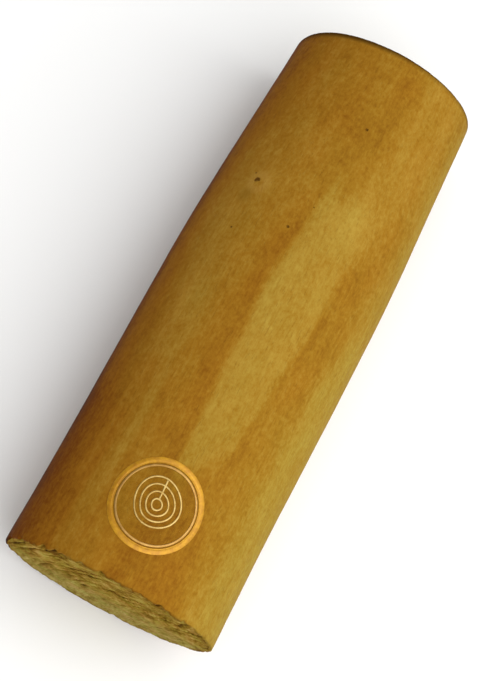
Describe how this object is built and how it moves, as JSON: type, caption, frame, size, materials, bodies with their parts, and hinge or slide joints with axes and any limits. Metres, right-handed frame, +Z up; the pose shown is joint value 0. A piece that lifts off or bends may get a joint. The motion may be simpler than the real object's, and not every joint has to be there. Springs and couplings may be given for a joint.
{
  "type": "wooden roller massager",
  "caption": "Solid smoothed wooden log roller for massage, slightly tapered, with square sawn ends and a thin round label near the wide end.",
  "frame": {"origin": "on the surface the log lies on, under the middle of its length and width", "axes": "+X along the log from the wide sawn end to the narrow one, +Z up through the middle of the label, +Y across the log towards the more worn rim of the narrow end"},
  "size_m": [0.305, 0.1132, 0.113],
  "materials": {
    "oiled_wood": "oiled satin on the side, raw sawn wood on both ends",
    "clear_film": "thin clear film with an amber tint",
    "gold_foil": "gold foil print",
    "rose_foil": "rose gold foil print",
    "emblem_foil": "pale gold foil print"
  },
  "bodies": {
    "root": {"roller_log": "oiled_wood", "label_film": "clear_film", "label_rim": "gold_foil", "label_pinstripe": "rose_foil", "label_emblem": "emblem_foil"}
  },
  "joints": []
}
